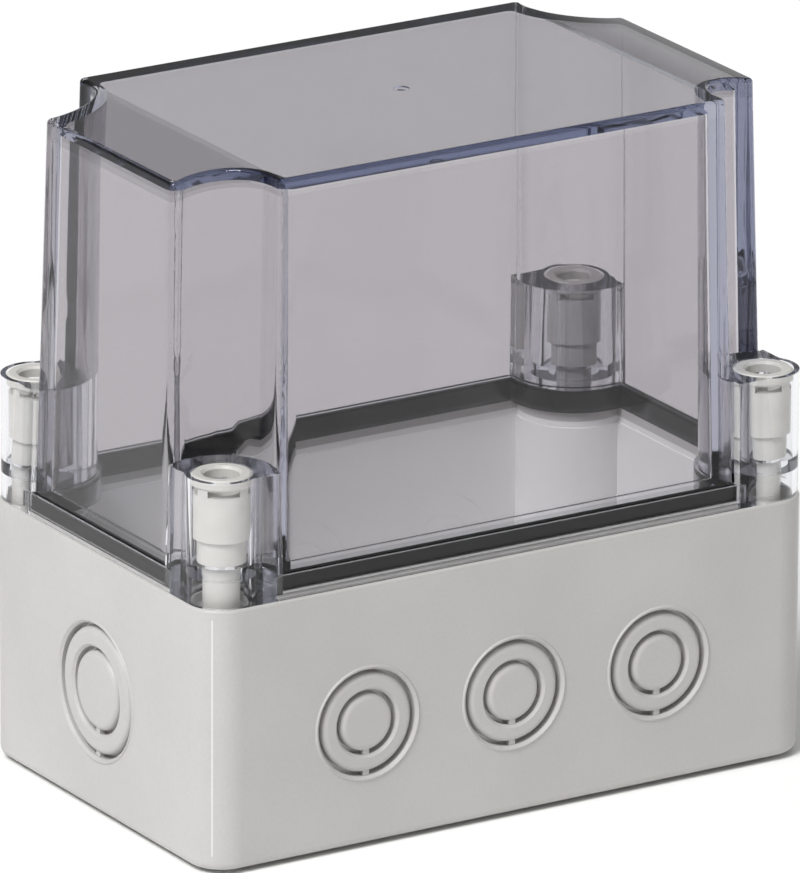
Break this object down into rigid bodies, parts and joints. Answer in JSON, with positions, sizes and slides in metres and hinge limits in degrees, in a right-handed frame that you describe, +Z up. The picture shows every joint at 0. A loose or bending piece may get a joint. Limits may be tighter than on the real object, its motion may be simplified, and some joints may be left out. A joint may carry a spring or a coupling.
{
  "type": "electrical enclosure",
  "caption": "Rectangular plastic electrical box with round knock-outs and a tall clear cover, held by quarter-turn corner screws over a black gasket.",
  "frame": {"origin": "centre of the underside, on the plane that the feet stand on", "axes": "+X along the long side towards the right end, +Y towards the back, +Z up through the cover; the wall with three knock-outs that the picture shows faces -Y"},
  "size_m": [0.1306, 0.0804, 0.129],
  "materials": {
    "base_grey": "fine satin moulded, light grey",
    "knockout_grey": "fine satin moulded, light grey",
    "cover_clear": "polished, clear with a smoke-grey tint",
    "gasket_black": "foamed, matt",
    "screw_grey": "satin moulded, warm light grey"
  },
  "bodies": {
    "base": {"base": "base_grey", "knockout_ring_front_left": "knockout_grey", "knockout_ring_front_centre": "knockout_grey", "knockout_ring_front_right": "knockout_grey", "knockout_ring_back_left": "knockout_grey", "knockout_ring_back_centre": "knockout_grey", "knockout_ring_back_right": "knockout_grey", "knockout_ring_left_end": "knockout_grey", "knockout_ring_right_end": "knockout_grey", "knockout_disc_front_left": "knockout_grey", "knockout_disc_front_centre": "knockout_grey", "knockout_disc_front_right": "knockout_grey", "knockout_disc_back_left": "knockout_grey", "knockout_disc_back_centre": "knockout_grey", "knockout_disc_back_right": "knockout_grey", "knockout_disc_left_end": "knockout_grey", "knockout_disc_right_end": "knockout_grey"},
    "cover": {"clear_cover": "cover_clear", "cover_gasket": "gasket_black"},
    "screw_front_left": {"cover_screw_front_left": "screw_grey"},
    "screw_front_right": {"cover_screw_front_right": "screw_grey"},
    "screw_back_right": {"cover_screw_back_right": "screw_grey"},
    "screw_back_left": {"cover_screw_back_left": "screw_grey"}
  },
  "joints": [
    {"name": "cover_lift", "type": "slide", "parent": "base", "child": "cover", "axis": [0, 0, 1], "range_m": [0, 0.06]},
    {"name": "screw_turn_front_left", "type": "hinge", "parent": "cover", "child": "screw_front_left", "pos_m": [-0.058, -0.033, 0.0748], "axis": [0, 0, -1], "range_deg": [0, 90]},
    {"name": "screw_turn_front_right", "type": "hinge", "parent": "cover", "child": "screw_front_right", "pos_m": [0.058, -0.033, 0.0748], "axis": [0, 0, -1], "range_deg": [0, 90]},
    {"name": "screw_turn_back_right", "type": "hinge", "parent": "cover", "child": "screw_back_right", "pos_m": [0.058, 0.033, 0.0748], "axis": [0, 0, -1], "range_deg": [0, 90]},
    {"name": "screw_turn_back_left", "type": "hinge", "parent": "cover", "child": "screw_back_left", "pos_m": [-0.058, 0.033, 0.0748], "axis": [0, 0, -1], "range_deg": [0, 90]}
  ]
}
